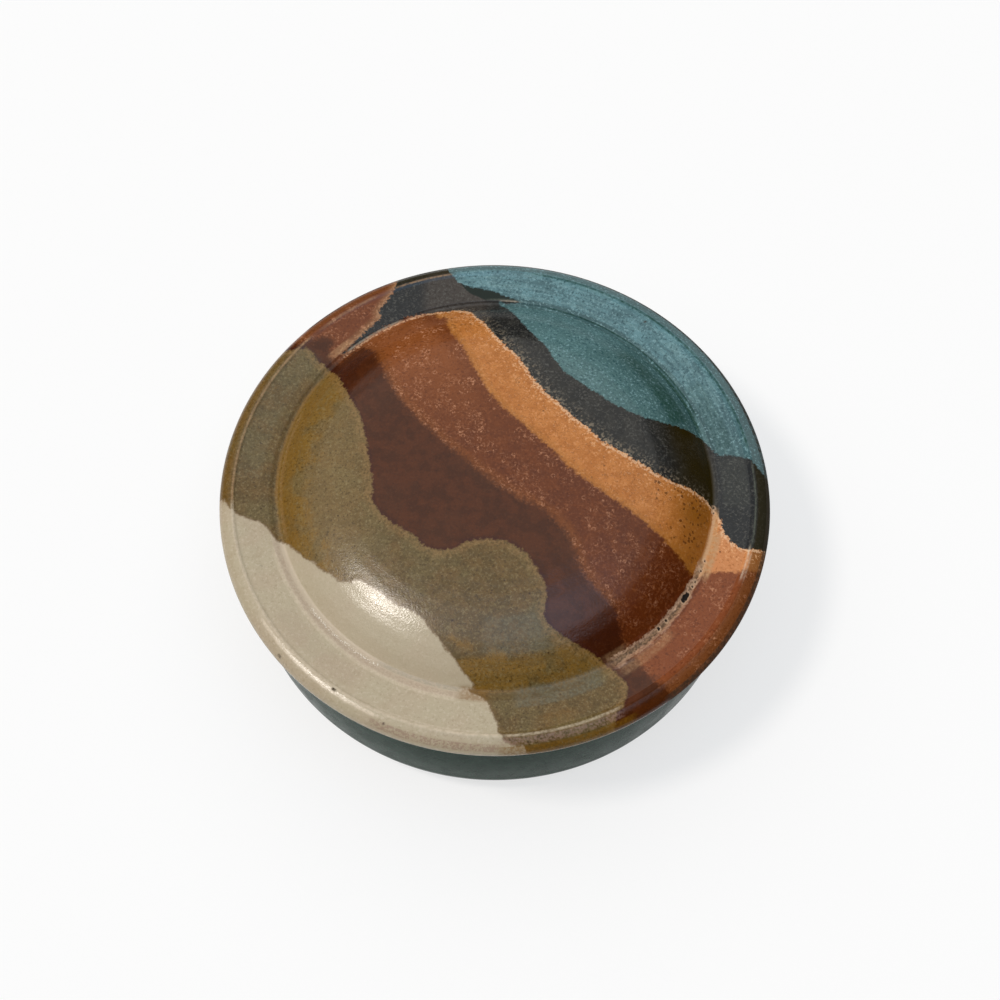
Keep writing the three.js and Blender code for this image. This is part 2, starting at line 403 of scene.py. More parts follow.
def smooth_curve(points):
    """A curve that passes smoothly through the points."""
    p = np.array(points, float)
    p = np.concatenate([[2 * p[0] - p[1]], p, [2 * p[-1] - p[-2]]])
    t = np.linspace(0, 1, CURVE_STEPS, endpoint=False)[:, None]
    pieces = []
    for a, b, c, d in zip(p[:-3], p[1:-2], p[2:-1], p[3:]):
        pieces.append(0.5 * (2 * b + (c - a) * t + (2 * a - 5 * b + 4 * c - d) * t ** 2
                             + (3 * b - a - 3 * c + d) * t ** 3))
    return np.concatenate(pieces + [p[-2:-1]])


def distance_past(points, x, y):
    """Distance in plan to a band's edge, positive on its upper right side, and the place along the edge."""
    curve = smooth_curve(points)
    nearest = np.full(len(x), np.inf)
    along = np.zeros(len(x))
    length = 0
    for (ax, ay), (bx, by) in zip(curve[:-1], curve[1:]):
        dx, dy = bx - ax, by - ay
        step = math.hypot(dx, dy)
        share = np.clip(((x - ax) * dx + (y - ay) * dy) / (step * step), 0, 1)
        away = (x - ax - share * dx) ** 2 + (y - ay - share * dy) ** 2
        along = np.where(away < nearest, length + share * step, along)
        nearest = np.minimum(nearest, away)
        length += step
    last, first = (math.atan2(curve[i, 1], curve[i, 0]) for i in (-1, 0))
    if first < last:
        first += 2 * math.pi
    turn = np.linspace(last, first, 40)
    outline = np.concatenate([curve, FAR_RADIUS * np.stack([np.cos(turn), np.sin(turn)], 1)])
    inside = np.zeros(len(x), bool)
    for (ax, ay), (bx, by) in zip(outline, np.roll(outline, -1, axis=0)):
        if ay != by:
            crosses = (ay > y) != (by > y)
            inside ^= crosses & (x < (bx - ax) * (y - ay) / (by - ay) + ax)
    return np.where(inside, 1, -1) * np.sqrt(nearest), along


# Lines and patches that follow the rings: radius of the middle, half width, first and last angle, strength
MARKS = {
    # Pale lines where the glaze breaks thin over the arris and lip; the cream's bevel line at ring 96.2 is a
    # painted highlight, and its lip line at ring 82.2 is partly a painted highlight
    "pale": [
        (94.4, 0.4, -176, -88, 0.7), (94, 0.9, -115, -92, 0.4), (82.2, 0.6, -162, -98, 0.5),
        (94.6, 0.3, -87, -62, 0.5), (79.9, 0.4, -22, -7, 0.4), (94.3, 0.2, -21, -13, 0.6),
        (95.3, 0.15, -21, -14, 0.4), (96.2, 0.45, -147, -114, 0.85), (80.4, 0.25, 117, 134, 0.4),
        (81.7, 0.3, 84, 89, 0.45),
    ],
    "tan": [
        (81.3, 2, -24, -11, 0.85), (80.6, 1, -12, -5, 0.8), (94.6, 0.2, 101, 114, 0.5),
        (77.5, 0.4, 158, 196, 0.25), (78.6, 1.6, -60, -53, 0.25), (83, 1.2, 131, 138, 0.4),
        (94.2, 0.3, 119, 134, 0.35), (83.6, 1.5, -57, -41, 0.3), (94.5, 0.25, 138, 184, 0.6),
    ],
    "mauve": [
        (98.4, 0.9, -115, -88, 0.45), (81, 0.6, -164, -98, 0.2), (96.5, 1, -88, -62, 0.4),
        (88, 3, -146, -122, 0.12),
    ],
    "amber": [
        (97.6, 2.1, 146, 184, 0.4), (75.5, 1.8, 143, 200, 0.35), (79.2, 0.5, 146, 184, 0.5),
        (99.2, 0.9, -88, -60, 0.7), (90.5, 2, -79, -71, 0.35), (80, 1.6, -98, -91, 0.6),
    ],
    # Grey patches and lines; the patch on the olive dome at ring 62 at the front is a painted bluish-grey
    # reflection
    "grey": [
        (81.5, 2.6, -84, -62, 0.4), (94.9, 0.15, -12, 8, 0.6), (79.5, 0.4, -120, -98, 0.35),
        (88, 4, -3, 10, 0.12), (90, 4.5, 140, 178, 0.15), (82.4, 0.3, 86, 92, 0.5), (62, 5, -93, -74, 0.25),
    ],
    "green": [
        (72.3, 2.8, 21, 36, 0.65), (72.6, 2.4, 30, 50, 0.35), (86.5, 2.6, 12, 32, 0.3),
        (94.8, 0.3, 12, 82, 0.75), (80.8, 0.3, 24, 76, 0.75), (78.9, 0.5, 19, 42, 0.8),
    ],
    # Dark lines and specks: the lines in the groove on the left at rings 79.3 and 80.2 are painted shade, the
    # bands at rings 99.4 and 99.6 darken the bevel's foot round the back and the right, and the short ones
    # are dark specks
    "dark": [
        (99.4, 0.8, 10, 136, 0.9), (99.6, 0.7, -52, 10, 0.8), (79.3, 0.5, 126, 146, 0.25),
        (80.2, 0.4, 146, 192, 0.12), (95.3, 0.3, -124.9, -124.1, 1), (98.9, 0.3, -138.8, -138.2, 0.9),
        (87.9, 0.25, -159.2, -158.8, 0.6), (97.5, 0.3, -112.3, -111.7, 0.8), (92.4, 0.3, 52.2, 52.8, 0.9),
    ],
    # Painted glints: a row of sparkles of reflected light in the cream's groove, and one on the large pit at
    # the front right
    "painted_glint": [
        (80.3, 0.25, -143, -119, 0.8), (79.9, 0.4, -33.6, -32.6, 1),
    ],
    "pitted": [
        (70.5, 4.5, -20, 4, 1), (63, 5, -9, 9, 1), (75.5, 2, -24, 0, 0.6), (70, 6, 94, 112, 0.6),
    ],
}
MARK_FADE = 3

# The crust in the groove at the front right, and its pits: ring radius, angle and size
CRUST_START = -58
CRUST_END = -21
PITS = [
    (79.6, -43, 0.5), (79.6, -40, 0.45), (79.8, -32.7, 0.75), (79.8, -31.7, 0.9), (79.9, -30.7, 0.75),
    (80, -28, 0.4), (80.1, -26.5, 0.4), (80.2, -23, 0.35), (80.2, -20, 0.35), (79.5, -6, 0.35),
    (79.5, -4.5, 0.4),
]
PIT_REACH = 3


def apart(turn, angle):
    """Degrees between two directions."""
    return np.abs((turn - angle + 180) % 360 - 180)


def mark_strength(kind, radius, turn):
    """How strongly one kind of mark shows at each point."""
    strength = np.zeros(len(radius))
    for middle, half, first, last, full in MARKS[kind]:
        reach = (last - first) / 2
        fade = min(MARK_FADE, reach)
        along = 1 - ease(apart(turn, (first + last) / 2), reach - fade / 2, reach + fade / 2)
        across = 1 - ease(np.abs(radius - middle), half, half + max(0.3, 0.4 * half))
        strength = np.maximum(strength, full * along * across)
    return strength


def pit_distance(radius, turn):
    """Distance to the nearest pit's rim, negative inside it."""
    away = []
    for ring, angle, size in PITS:
        aside = np.radians(apart(turn, angle)) * ring
        away.append(np.hypot(radius - ring, aside) - size)
    return np.minimum(np.min(away, axis=0), PIT_REACH)


# Camera, floor and light

CAMERA_TARGET = Vector((0, 0, 59))
CAMERA_DISTANCE = 755
CAMERA_ELEVATION = math.radians(62.49)
CAMERA_ROLL = math.radians(0.96)
CAMERA_LENS = 74.69
CAMERA_SHIFT = (0.00499, -0.00394)

SUN_DIRECTION = Vector((-0.47, -0.1, 0.87))
SUN_SIZE = math.radians(11)
SUN_STRENGTH = 1.52
SUN_COLOUR = (1, 0.93, 0.86)

# Two oval panels overhead: height, middle and half width in x and y as shares of it, radiance and colour
PANELS = {
    "wide_panel": (9000, (-0.4, 0.6), (1.2, 1.4), 0.86, (1, 1, 0.97)),
    "near_panel": (7000, (0.14, -0.15), (0.34, 0.32), 1.0, (0.2, 0.55, 1)),
}

FLOOR_RADIUS = 9000
FLOOR_SHADE = 0.96
FLOOR_GLOW = 0.7
PALE_RADIUS = 420
DARK_RADIUS = 820
FAR_SHADE = 0.25
HORIZON_SHADE = 0.2
SKY_DIM = 0.04
HORIZON_TOP = 0
SKY_BOTTOM = math.sin(math.radians(4))


def add_camera():
    """The photograph's viewing angle: from the front, well above, with a slight roll."""
    back = Vector((0, -math.cos(CAMERA_ELEVATION), math.sin(CAMERA_ELEVATION)))
    level_right = Vector((1, 0, 0))
    level_up = back.cross(level_right)
    right = level_right * math.cos(CAMERA_ROLL) + level_up * math.sin(CAMERA_ROLL)
    up = back.cross(right)
    camera = bpy.data.objects.new("camera", bpy.data.cameras.new("camera"))
    bpy.context.scene.collection.objects.link(camera)
    place = (CAMERA_TARGET + back * CAMERA_DISTANCE) * MM
    camera.matrix_world = Matrix.Translation(place) @ Matrix((right, up, back)).transposed().to_4x4()
    camera.data.lens = CAMERA_LENS
    camera.data.sensor_width = 36
    camera.data.shift_x, camera.data.shift_y = CAMERA_SHIFT
    bpy.context.scene.camera = camera


def add_lamp(name, kind, direction, place):
    """A lamp at a place, shining back along the direction that leads to it."""
    lamp = bpy.data.objects.new(name, bpy.data.lights.new(name, kind))
    bpy.context.scene.collection.objects.link(lamp)
    lamp.location = place
    lamp.rotation_mode = "QUATERNION"
    lamp.rotation_quaternion = direction.to_track_quat("Z", "Y")
    return lamp


def add_lights():
    """A warm key from the left, a wide white panel and a smaller blue one overhead, and a dim sky."""
    sun = add_lamp("key", "SUN", SUN_DIRECTION, SUN_DIRECTION)
    sun.data.energy = SUN_STRENGTH
    sun.data.angle = SUN_SIZE
    sun.data.color = SUN_COLOUR
    for name, (height, middle, half, radiance, colour) in PANELS.items():
        width, depth = (2 * share * height * MM for share in half)
        place = Vector((middle[0], middle[1], 1)) * height * MM
        panel = add_lamp(name, "AREA", Vector((0, 0, 1)), place)
        panel.data.shape = "ELLIPSE"
        panel.data.size, panel.data.size_y = width, depth
        panel.data.energy = radiance * math.pi * width * depth * math.pi / 4
        panel.data.color = colour

    world = bpy.data.worlds.new("studio")
    bpy.context.scene.world = world
    world.use_nodes = True
    nodes, links = world.node_tree.nodes, world.node_tree.links
    direction = nodes.new("ShaderNodeTexCoord")
    height = nodes.new("ShaderNodeSeparateXYZ")
    shade = nodes.new("ShaderNodeMapRange")
    shade.interpolation_type = "SMOOTHSTEP"
    for socket, value in zip(shade.inputs[1:5], (HORIZON_TOP, SKY_BOTTOM, HORIZON_SHADE, SKY_DIM)):
        socket.default_value = value
    links.new(direction.outputs["Generated"], height.inputs[0])
    links.new(height.outputs["Z"], shade.inputs[0])
    links.new(shade.outputs[0], nodes["Background"].inputs["Strength"])
    nodes["Background"].inputs["Color"].default_value = (1, 1, 1, 1)


def add_floor():
    """A pale floor that darkens far out. Seen by the camera or in a reflection, it partly glows by itself."""
    bpy.ops.mesh.primitive_circle_add(vertices=96, radius=FLOOR_RADIUS * MM, fill_type="NGON")
    floor = bpy.context.object
    floor.name = "floor"
    m = Paint("floor_white")
    away = m.new("VectorMath", m.place, operation="LENGTH").outputs["Value"]
    shade = m.ramp(away, PALE_RADIUS, DARK_RADIUS, 1.0, FAR_SHADE)
    m.feed(m.shader.inputs["Base Color"], m.times(shade, FLOOR_SHADE))
    m.shader.inputs["Roughness"].default_value = 1
    m.shader.inputs["Specular IOR Level"].default_value = 0
    ray = m.new("LightPath").outputs
    seen = m.add(m.add(ray["Is Camera Ray"], ray["Is Glossy Ray"]), ray["Is Transmission Ray"])
    share = m.times(m.math("MINIMUM", seen, 1.0), FLOOR_GLOW)
    blend = m.new("MixShader", share, m.shader.outputs[0], m.new("Emission", shade).outputs[0])
    m.feed(m.tree.nodes["Material Output"].inputs["Surface"], blend.outputs[0])
    floor.data.materials.append(m.material)


# Materials

def tone(red, green, blue):
    """A colour written in the usual 0 to 255 steps, as the shader's linear values."""
    linear = [c / 255 / 12.92 if c < 11 else ((c / 255 + 0.055) / 1.055) ** 2.4 for c in (red, green, blue)]
    return (*linear, 1)


class Paint:
    """One material's nodes. Lengths in it are millimetres, and most of its calls return a socket."""

    def __init__(self, name):
        self.material = bpy.data.materials.new(name)
        self.material.use_nodes = True
        self.tree = self.material.node_tree
        self.shader = self.tree.nodes["Principled BSDF"]
        self.place = self.vector("MULTIPLY", self.new("TexCoord").outputs["Object"], (1 / MM, 1 / MM, 1 / MM))

    def feed(self, socket, value):
        if isinstance(value, bpy.types.NodeSocket):
            self.tree.links.new(value, socket)
        else:
            socket.default_value = value

    def new(self, kind, *values, **settings):
        """A node with the settings, and with the values fed to its first inputs."""
        node = self.tree.nodes.new("ShaderNode" + kind)
        for name, value in settings.items():
            setattr(node, name, value)
        for socket, value in zip(node.inputs, values):
            self.feed(socket, value)
        return node

    def vector(self, operation, a, b):
        return self.new("VectorMath", a, b, operation=operation).outputs[0]

    def join(self, x, y, z):
        return self.new("CombineXYZ", x, y, z).outputs[0]

    def math(self, operation, a, b):
        return self.new("Math", a, b, operation=operation).outputs[0]

    def add(self, a, b):
        return self.math("ADD", a, b)

    def times(self, a, b):
        return self.math("MULTIPLY", a, b)

    def larger(self, a, b):
        return self.math("MAXIMUM", a, b)

    def sway(self, noise, amount):
        """The noise about zero instead of a half, times the amount."""
        return self.times(self.add(noise, -0.5), amount)

    def ramp(self, value, low, high, start=0.0, end=1.0):
        """start below low, end above high, and smooth between them."""
        return self.new("MapRange", value, low, high, start, end, interpolation_type="SMOOTHSTEP").outputs[0]

    def fall(self, value, low, high):
        """1 below low, 0 above high, and smooth between them."""
        return self.ramp(value, low, high, 1.0, 0.0)

    def band(self, value, middle, half_width, softness):
        """1 within half_width of the middle, fading to 0 over the softness."""
        away = self.math("ABSOLUTE", self.add(value, -middle), 0.0)
        return self.fall(away, half_width, half_width + softness)

    def mix(self, share, a, b):
        node = self.new("Mix", share, data_type="RGBA")
        self.feed(node.inputs[6], a)
        self.feed(node.inputs[7], b)
        return node.outputs[2]

    def lay(self, colour, *layers):
        """The colour under layers, in order: where each lies, how strong it is there, and its tone."""
        for where, strength, over in layers:
            share = where if strength == 1 else self.times(where, strength)
            colour = self.mix(share, colour, tone(*over) if isinstance(over, tuple) else over)
        return colour

    def blend(self, share, a, b):
        """The number a, moved towards b by the share."""
        return self.add(a, self.times(share, self.math("SUBTRACT", b, a)))

    def coordinates(self):
        """The three coordinates of the place."""
        return self.new("SeparateXYZ", self.place).outputs

    def noise(self, size, seed, detail=2, roughness=0.5, twist=0, place=None):
        """Noise from 0 to 1 with features about size millimetres across."""
        moved = self.vector("ADD", place or self.place, (37 * seed, 19 * seed, 11 * seed))
        node = self.new("TexNoise", moved)
        node.inputs["Scale"].default_value = 1 / size
        node.inputs["Detail"].default_value = detail
        node.inputs["Roughness"].default_value = roughness
        node.inputs["Distortion"].default_value = twist
        return node.outputs["Fac"]

    def cells(self, size, seed):
        """Distance to the nearest of many scattered points, in cell sizes, and a random number of each."""
        node = self.new("TexVoronoi", self.vector("ADD", self.place, (23 * seed, 41 * seed, 7 * seed)))
        node.inputs["Scale"].default_value = 1 / size
        return node.outputs["Distance"], self.new("SeparateColor", node.outputs["Color"]).outputs[0]

    def data(self, name):
        return self.new("Attribute", attribute_name=name).outputs["Fac"]

    def finish(self, colour, roughness, height, depth, shine):
        """Feeds the shader: height from 0 to 1 stands for depth millimetres of relief."""
        bump = self.new("Bump")
        bump.inputs["Distance"].default_value = depth * MM
        self.feed(bump.inputs["Height"], height)
        self.feed(self.shader.inputs["Base Color"], colour)
        self.feed(self.shader.inputs["Roughness"], roughness)
        self.feed(self.shader.inputs["Normal"], bump.outputs[0])
        self.shader.inputs["Specular IOR Level"].default_value = shine
        return self.material


# How many times longer than wide: the streaks round the brim, and the feathers across the charcoal's edge
STREAK_STRETCH = 10
FEATHER_STRETCH = 1 / 0.35


class Fields:
    """Noise and point data that all the lid's glazes share."""

    def __init__(self, m):
        self.x, self.y, _ = m.coordinates()
        self.ring, self.thin = m.data("ring"), m.data("thin")
        self.reach, self.pit = m.data("reach"), m.data("pit")
        self.marks = {kind: m.data(kind) for kind in MARKS}
        self.past = {name: m.data("past_" + name) for name in EDGES}
        self.patch = m.noise(15, seed=1)
        self.drift = m.noise(7, seed=5)
        self.mottle = m.noise(4.5, seed=2, detail=3)
        self.worm = m.noise(2.6, seed=8, twist=1.2)
        self.grain = m.noise(1.15, seed=3, detail=3, roughness=0.6)
        self.grit = m.noise(0.95, seed=10, roughness=0.65)
        self.fine = m.noise(0.5, seed=4, detail=1)
        self.add_zones(m)
        self.add_grains(m)
        self.add_scattered(m)

    def add_zones(self, m):
        """Parts of the lid that are set apart by where they lie."""
        self.back = m.ramp(self.y, -15, 60)
        self.bevel = m.ramp(self.ring, 94.8, 96)
        self.groove = m.band(self.ring, 80.3, 1.1, 0.7)
        self.dome = m.fall(self.ring, 79, 80.5)
        self.brown = m.times(m.band(self.x, -16, 9, 6), m.ramp(self.y, 60, 70))
        offset = m.times(m.add(self.x, 3.5), 0.09)
        self.leaf = m.add(m.times(m.times(offset, offset), -4.4), 4.4)

    def add_grains(self, m):
        """Light and dark grit, thin lines, streaks round the brim and feathers across the charcoal's edge."""
        self.light_grain = m.ramp(self.grain, 0.52, 0.66)
        self.light_grit = m.ramp(self.grit, 0.55, 0.68)
        self.dark_grit = m.fall(self.grit, 0.32, 0.45)
        self.line = m.times(m.band(self.worm, 0.5, 0.014, 0.026), m.ramp(self.grit, 0.42, 0.56))
        turned = m.vector("MULTIPLY", m.place, (1 / STREAK_STRETCH, 1 / STREAK_STRETCH, 0))
        turned = m.vector("ADD", turned, m.join(0.0, 0.0, self.ring))
        self.streak = m.noise(1.3, seed=6, place=turned)
        across = m.times(self.past["charcoal"], 1 / FEATHER_STRETCH)
        self.feather = m.noise(0.8, seed=9, place=m.join(m.data("along"), across, 0.0))

    def add_scattered(self, m):
        """Specks, pinholes, small hoops and hooked flakes. Each starts from scattered points."""
        near, number = m.cells(2.2, seed=7)
        spot = m.times(m.fall(near, 0.1, 0.22), m.ramp(number, 0.74, 0.78))
        self.speck = m.times(spot, m.ramp(self.drift, 0.42, 0.6))
        near, number = m.cells(1.7, seed=13)
        hole = m.fall(m.add(near, m.times(self.fine, 0.8)), 0.65, 0.75)
        self.holes = m.times(self.marks["pitted"], m.times(hole, m.ramp(number, 0.3, 0.35)))
        near, number = m.cells(3.6, seed=3)
        hoop = m.band(m.add(near, m.sway(self.fine, 0.14)), 0.19, 0.02, 0.06)
        self.hoop = m.times(m.times(hoop, m.ramp(number, 0.78, 0.82)), m.ramp(self.fine, 0.38, 0.52))
        near, number = m.cells(2.7, seed=5)
        hook = m.band(m.add(near, m.sway(self.fine, 0.24)), 0.28, 0.045, 0.08)
        self.hook = m.times(m.times(hook, m.ramp(number, 0.15, 0.25)), m.ramp(self.grit, 0.46, 0.58))


# The glazes: each starts from its plain tone and lays others over it

def cream(m, f):
    return m.lay(
        tone(183, 170, 144),
        (m.ramp(f.patch, 0.38, 0.62), 1, (183, 167, 142)),
        (m.ramp(f.mottle, 0.5, 0.75), 0.3, (166, 148, 120)),
        (f.light_grain, 0.4, (204, 191, 168)),
        (f.dark_grit, 0.35, (152, 134, 108)),
        # Lighter on the flank: painted light that lifts the shade on the flank
        (f.thin, 0.5, (192, 178, 153)),
        (f.groove, 0.45, (202, 183, 162)),
    )


def olive(m, f):
    left = m.times(m.fall(f.x, -58, -34), f.dome)
    uneven = m.add(m.sway(f.mottle, 1.6), m.sway(f.drift, 1.4))
    ragged = m.ramp(m.add(f.thin, uneven), 0.35, 0.9)
    blotch = m.times(m.ramp(f.worm, 0.56, 0.66), m.ramp(f.grit, 0.44, 0.56))
    near = m.ramp(m.add(f.past["aubergine"], m.times(f.mottle, 2)), -3, 0.2)
    return m.lay(
        tone(94, 74, 38),
        (m.ramp(f.mottle, 0.38, 0.62), 1, (107, 83, 44)),
        (m.ramp(f.patch, 0.48, 0.62), 0.5, (106, 94, 58)),
        (left, 0.45, (134, 110, 66)),
        (m.times(ragged, m.ramp(f.streak, 0.35, 0.6, 0.6, 1.0)), 0.9, (130, 97, 38)),
        (f.light_grain, 0.4, (140, 122, 80)),
        (f.light_grit, m.blend(ragged, 0.42, 0.3), (150, 134, 98)),
        (f.dark_grit, 0.7, (66, 48, 20)),
        (f.line, 0.35, (62, 42, 14)),
        (m.times(blotch, f.dome), 0.4, (86, 60, 24)),
        (f.speck, 0.8, (56, 34, 8)),
        # Darker in the groove, except at the far left: painted shade
        (f.groove, m.ramp(f.x, -75, -55, 0.0, 0.25), (88, 66, 32)),
        (m.times(near, m.ramp(f.grit, 0.42, 0.58, 0.3, 1.0)), 0.5, (146, 112, 68)),
    )


def aubergine(m, f):
    return m.lay(
        tone(81, 38, 10),
        (m.ramp(f.mottle, 0.38, 0.62), 1, (68, 30, 4)),
        (m.ramp(f.patch, 0.5, 0.66), 0.3, (74, 40, 18)),
        (f.thin, 0.9, (56, 18, 2)),
        (m.fall(f.past["aubergine"], 0.3, 1.6), 0.6, (58, 20, 14)),
        (f.light_grit, 0.15, (110, 68, 42)),
        (f.dark_grit, 0.35, (54, 20, 2)),
    )


def rust(m, f):
    start = m.fall(f.past["rust"], 1, 5)
    # The brim darker towards the back: painted shade that offsets the stronger reflection there
    brim = m.mix(f.back, tone(134, 69, 32), tone(114, 58, 25))
    lip = m.times(m.ramp(f.past["charcoal"], -3.5, -0.8), m.ramp(f.ring, 81.5, 83))
    cluster = m.ramp(m.add(f.drift, m.times(start, 0.06)), 0.45, 0.58, 0.1, 1.0)
    light = m.add(m.times(f.light_grit, 0.18), m.times(f.hook, 0.65))
    light = m.times(m.add(light, m.times(f.line, 0.4)), cluster)
    flakes = m.times(m.add(light, m.times(f.hoop, 0.6)), m.blend(f.thin, 0.9, 0.4))
    return m.lay(
        tone(104, 50, 14),
        (m.ramp(f.mottle, 0.4, 0.6), 1, (95, 44, 12)),
        (m.times(m.times(f.back, f.back), f.dome), 1, (136, 74, 30)),
        (start, 0.6, (124, 68, 22)),
        (m.ramp(f.past["orange"], -9, -1), 0.5, (94, 42, 8)),
        (m.ramp(f.ring, 81, 83), 0.7, brim),
        (f.thin, 0.9, (86, 34, 2)),
        (f.bevel, 0.7, (118, 70, 34)),
        (f.light_grain, 0.4, (140, 80, 42)),
        (f.dark_grit, 0.5, (74, 30, 6)),
        (lip, 0.5, (150, 110, 74)),
        (flakes, m.blend(f.dome, 0.7, m.blend(f.back, 0.7, 1.1)), (194, 136, 100)),
    )


def orange(m, f):
    edge = m.ramp(f.past["charcoal"], -9, -1, 0.22, 0.8)
    light = m.times(m.larger(f.light_grit, m.times(f.hook, f.dome)), edge)
    return m.lay(
        tone(194, 124, 62),
        (m.ramp(f.mottle, 0.4, 0.62), 1, (182, 112, 50)),
        (m.fall(f.past["orange"], 0.5, 4), 0.4, (168, 110, 44)),
        (m.ramp(f.ring, 81.5, 83.5), 1, (200, 131, 79)),
        (f.thin, 0.85, (142, 86, 18)),
        (f.bevel, 0.8, (134, 86, 42)),
        (light, m.blend(f.thin, 1.0, 0.3), (232, 176, 124)),
        (f.dark_grit, 0.55, (146, 80, 26)),
        (m.times(f.line, f.dome), 0.5, (120, 66, 20)),
        (f.holes, 0.85, (92, 50, 12)),
        (f.speck, m.ramp(f.past["charcoal"], -12, -3, 0.4, 0.85), (66, 36, 10)),
    )


def charcoal(m, f):
    beak = m.times(m.ramp(m.add(f.past["teal"], f.leaf), -0.4, 0.4), m.ramp(f.ring, 82, 82.6))
    granules = m.ramp(m.add(m.times(f.grit, 0.6), m.times(f.feather, 0.5)), 0.54, 0.66)
    fade = m.times(m.fall(f.past["charcoal"], 0.2, 6), m.fall(f.ring, 77, 79))
    return m.lay(
        tone(46, 45, 42),
        (m.ramp(f.mottle, 0.4, 0.6), 1, (36, 36, 35)),
        (m.ramp(f.ring, 80, 82.5), 0.8, (32, 35, 38)),
        (f.brown, 0.7, (72, 64, 58)),
        (f.line, 0.5, (92, 90, 84)),
        (f.light_grit, m.ramp(f.drift, 0.44, 0.58, 0.15, 0.6), (86, 86, 82)),
        (f.dark_grit, 0.5, (28, 24, 18)),
        (f.thin, 0.95, (42, 32, 0)),
        (f.bevel, 0.7, (50, 44, 24)),
        (beak, 1, (0, 22, 14)),
        (m.times(fade, granules), m.blend(f.thin, 0.75, 0.3), (140, 126, 106)),
    )


def teal(m, f):
    drawn = m.blend(f.dome, 0.4, 0.15)
    return m.lay(
        tone(64, 92, 94),
        (m.ramp(f.y, 0, 75), 1, (100, 140, 147)),
        (m.ramp(f.patch, 0.48, 0.64), 0.35, (66, 96, 102)),
        (m.ramp(f.mottle, 0.44, 0.58), 0.45, (62, 94, 100)),
        (f.dome, 0.6, (84, 117, 113)),
        (m.band(f.ring, 81, 1.8, 1.0), 0.7, (50, 76, 76)),
        (m.times(f.thin, f.dome), 0.6, (52, 80, 74)),
        (m.ramp(f.streak, 0.5, 0.62), drawn, (116, 150, 152)),
        (m.fall(f.streak, 0.36, 0.46), drawn, (58, 88, 92)),
        (f.dark_grit, 0.85, (42, 74, 80)),
        (f.line, 0.45, (52, 84, 90)),
        (f.bevel, 0.7, (98, 116, 116)),
        (f.light_grit, 0.65, (134, 170, 176)),
    )


# Each band: its glaze, how far coarse and fine noise move its edge, how soft the edge is, and its roughness
BANDS = {
    "olive": (olive, 2.2, 1.8, 0.35, 0.27),
    "aubergine": (aubergine, 2.2, 3.2, 0.5, 0.2),
    "rust": (rust, 4.5, 4.5, 1.8, 0.25),
    "orange": (orange, 2.4, 3.5, 0.9, 0.25),
    "charcoal": (charcoal, 2.0, 3.5, 0.3, 0.12),
    "teal": (teal, 1.6, 2.6, 0.35, 0.22),
}
CREAM_ROUGHNESS = 0.21
GROOVE_ROUGHNESS = 0.55
WORN_ROUGHNESS = 0.95
ROUGHNESS_SWAY = 0.1

MARK_TONES = {
    # pale: glaze breaking thin, with a painted highlight on the cream's bevel and lip
    "pale": (212, 196, 172),
    "tan": (186, 146, 104),
    "mauve": (144, 114, 100),
    "amber": (122, 84, 20),
    # grey: includes a painted bluish-grey reflection on the olive dome
    "grey": (104, 108, 96),
    "green": (20, 60, 44),
    # dark: specks, a darker bevel foot, and painted shade in the groove
    "dark": (52, 40, 24),
    # the tone of the painted glints
    "painted_glint": (244, 238, 226),
}

# The crust's lips: noisy ring radius of the middle, half width, and strength
CRUST_LIPS = [(78.65, 0.15, 0.85), (80.95, 0.25, 0.5)]
CRUST_LIP_TONE = (204, 168, 138)
CRUST_TRENCH = 79.7

# Relief in the shader, in millimetres, and strength of reflection
GLAZE_RELIEF = 0.09
GREEN_RELIEF = 0.02
CLAY_RELIEF = 0.12
BAND_SHINE = 0.38
EDGE_SHINE = 0.25
GREEN_SHINE = 0.03
CLAY_SHINE = 0.3
CLAY_ROUGHNESS = 0.85


def add_crust(m, f, colour):
    """Two granular lips beside a pitted trench: the colour with them, and where the holes in it lie."""
    ring = m.add(f.ring, m.add(m.sway(f.grain, 1.4), m.sway(f.mottle, 2.4)))
    trench = m.times(f.reach, m.band(ring, CRUST_TRENCH, 0.55, 0.4))
    clay = m.lay(tone(80, 60, 38), (m.ramp(f.grain, 0.42, 0.58), 1, (134, 106, 78)))
    colour = m.lay(colour, (trench, 0.85, clay))
    for middle, half, strength in CRUST_LIPS:
        lip = m.times(f.reach, m.band(ring, middle, half, 0.6))
        colour = m.lay(colour, (lip, m.ramp(f.grit, 0.38, 0.56, 0.3, strength), CRUST_LIP_TONE))
    pit = m.add(f.pit, m.sway(f.fine, 0.7))
    hollow = m.fall(pit, -0.1, 0.15)
    # The near-black in the pits is painted shade.
    colour = m.lay(colour, (m.band(pit, 0.3, 0.15, 0.25), 0.5, (196, 164, 134)), (hollow, 1, (16, 8, 3)))
    return colour, hollow


def add_marks(m, f, colour):
    """The lines and patches that follow the rings, each broken up by noise."""
    # The painted glints are broken into small spots.
    broken = {"painted_glint": m.ramp(f.fine, 0.56, 0.64), "mauve": m.ramp(f.grit, 0.42, 0.56, 0.15, 1.3)}
    plain = m.ramp(f.grain, 0.38, 0.58, 0.45, 1.0)
    for kind, mark_tone in MARK_TONES.items():
        colour = m.lay(colour, (f.marks[kind], broken.get(kind, plain), mark_tone))
    return colour


